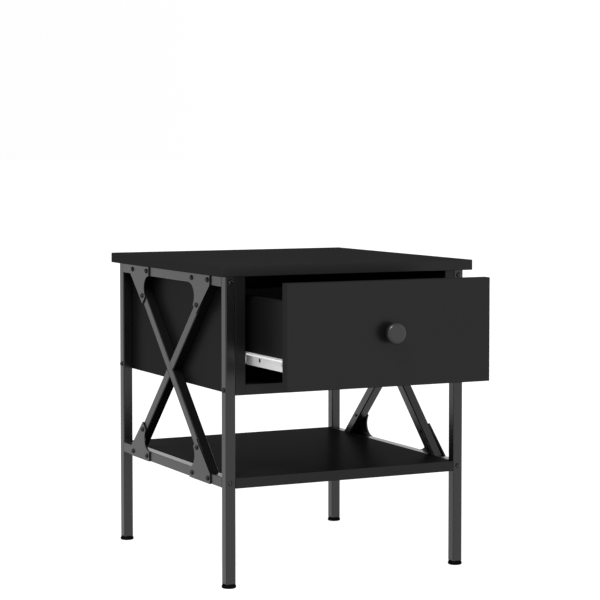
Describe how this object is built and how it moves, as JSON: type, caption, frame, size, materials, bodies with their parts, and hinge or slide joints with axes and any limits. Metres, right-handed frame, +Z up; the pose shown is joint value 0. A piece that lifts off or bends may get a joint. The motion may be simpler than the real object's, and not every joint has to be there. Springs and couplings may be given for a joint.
{
  "type": "side table with drawer",
  "caption": "Small side table: black boards on steel side frames with X braces, one drawer on roller runners with a round knob, and an open lower shelf.",
  "frame": {"origin": "on the floor, under the middle of the whole table as it stands with its drawer part of the way open", "axes": "+Z up; +X to the right along the front; the drawer opens towards -Y, so the knob faces -Y"},
  "size_m": [0.4, 0.5624, 0.45],
  "materials": {
    "black_board": "matte black melamine on particle board, black edge band",
    "black_steel": "black powder coat",
    "black_screw": "black oxide",
    "zinc_screw": "zinc plated",
    "white_steel": "white epoxy coat",
    "white_nylon": "white nylon",
    "plug_plastic": "black nylon",
    "foot_plastic": "black moulded plastic",
    "beech": "plain beech",
    "fibreboard": "black faced fibreboard",
    "knob_lacquer": "satin black lacquer"
  },
  "bodies": {
    "table": {"tabletop": "black_board", "side_panel_left": "black_board", "side_panel_right": "black_board", "bottom_panel": "black_board", "back_panel": "black_board", "lower_shelf": "black_board", "leg_front_left": "black_steel", "leg_back_left": "black_steel", "leg_front_right": "black_steel", "leg_back_right": "black_steel", "top_rail_left": "black_steel", "lower_rail_left": "black_steel", "top_rail_right": "black_steel", "lower_rail_right": "black_steel", "brace_long_left": "black_steel", "brace_upper_left": "black_steel", "brace_lower_left": "black_steel", "brace_long_right": "black_steel", "brace_upper_right": "black_steel", "brace_lower_right": "black_steel", "plate_top_front_left": "black_steel", "plate_low_front_left": "black_steel", "plate_top_back_left": "black_steel", "plate_low_back_left": "black_steel", "plate_top_front_right": "black_steel", "plate_low_front_right": "black_steel", "plate_top_back_right": "black_steel", "plate_low_back_right": "black_steel", "plate_screws": "black_screw", "board_screws": "black_screw", "leg_screws": "black_screw", "carcass_screws": "black_screw", "tabletop_screws": "zinc_screw", "rail_inserts": "plug_plastic", "leg_plugs": "plug_plastic", "dowels": "beech", "cabinet_runner_left": "white_steel", "cabinet_runner_right": "white_steel", "front_roller_pins": "zinc_screw", "cabinet_runner_screws": "zinc_screw"},
    "drawer": {"drawer_front": "black_board", "drawer_side_left": "black_board", "drawer_side_right": "black_board", "drawer_back": "black_board", "drawer_bottom": "fibreboard", "drawer_dowels": "beech", "drawer_runner_left": "white_steel", "drawer_runner_right": "white_steel", "rear_roller_pins": "zinc_screw", "drawer_runner_screws": "zinc_screw", "knob": "knob_lacquer", "knob_screw": "zinc_screw"},
    "front_roller_left": {"front_roller_left": "white_nylon"},
    "front_roller_right": {"front_roller_right": "white_nylon"},
    "rear_roller_left": {"rear_roller_left": "white_nylon"},
    "rear_roller_right": {"rear_roller_right": "white_nylon"},
    "foot_front_left": {"foot_front_left": "foot_plastic"},
    "foot_front_right": {"foot_front_right": "foot_plastic"},
    "foot_back_left": {"foot_back_left": "foot_plastic"},
    "foot_back_right": {"foot_back_right": "foot_plastic"}
  },
  "joints": [
    {"name": "drawer_slide", "type": "slide", "parent": "table", "child": "drawer", "axis": [0, -1, 0], "range_m": [-0.1275, 0.0975]},
    {"name": "front_roller_left_turn", "type": "hinge", "parent": "table", "child": "front_roller_left", "pos_m": [-0.153, -0.10825, 0.318], "axis": [1, 0, 0], "continuous": true},
    {"name": "rear_roller_left_turn", "type": "hinge", "parent": "drawer", "child": "rear_roller_left", "pos_m": [-0.153, 0.03275, 0.3173], "axis": [1, 0, 0], "continuous": true},
    {"name": "front_roller_right_turn", "type": "hinge", "parent": "table", "child": "front_roller_right", "pos_m": [0.153, -0.10825, 0.318], "axis": [1, 0, 0], "continuous": true},
    {"name": "rear_roller_right_turn", "type": "hinge", "parent": "drawer", "child": "rear_roller_right", "pos_m": [0.153, 0.03275, 0.3173], "axis": [1, 0, 0], "continuous": true},
    {"name": "foot_front_left_height", "type": "slide", "parent": "table", "child": "foot_front_left", "axis": [0, 0, -1], "range_m": [0, 0.008]},
    {"name": "foot_back_left_height", "type": "slide", "parent": "table", "child": "foot_back_left", "axis": [0, 0, -1], "range_m": [0, 0.008]},
    {"name": "foot_front_right_height", "type": "slide", "parent": "table", "child": "foot_front_right", "axis": [0, 0, -1], "range_m": [0, 0.008]},
    {"name": "foot_back_right_height", "type": "slide", "parent": "table", "child": "foot_back_right", "axis": [0, 0, -1], "range_m": [0, 0.008]}
  ],
  "couplings": [
    {"joint": "front_roller_left_turn", "follows": "drawer_slide", "rad_per_m": 125},
    {"joint": "rear_roller_left_turn", "follows": "drawer_slide", "rad_per_m": 125},
    {"joint": "front_roller_right_turn", "follows": "drawer_slide", "rad_per_m": 125},
    {"joint": "rear_roller_right_turn", "follows": "drawer_slide", "rad_per_m": 125}
  ]
}
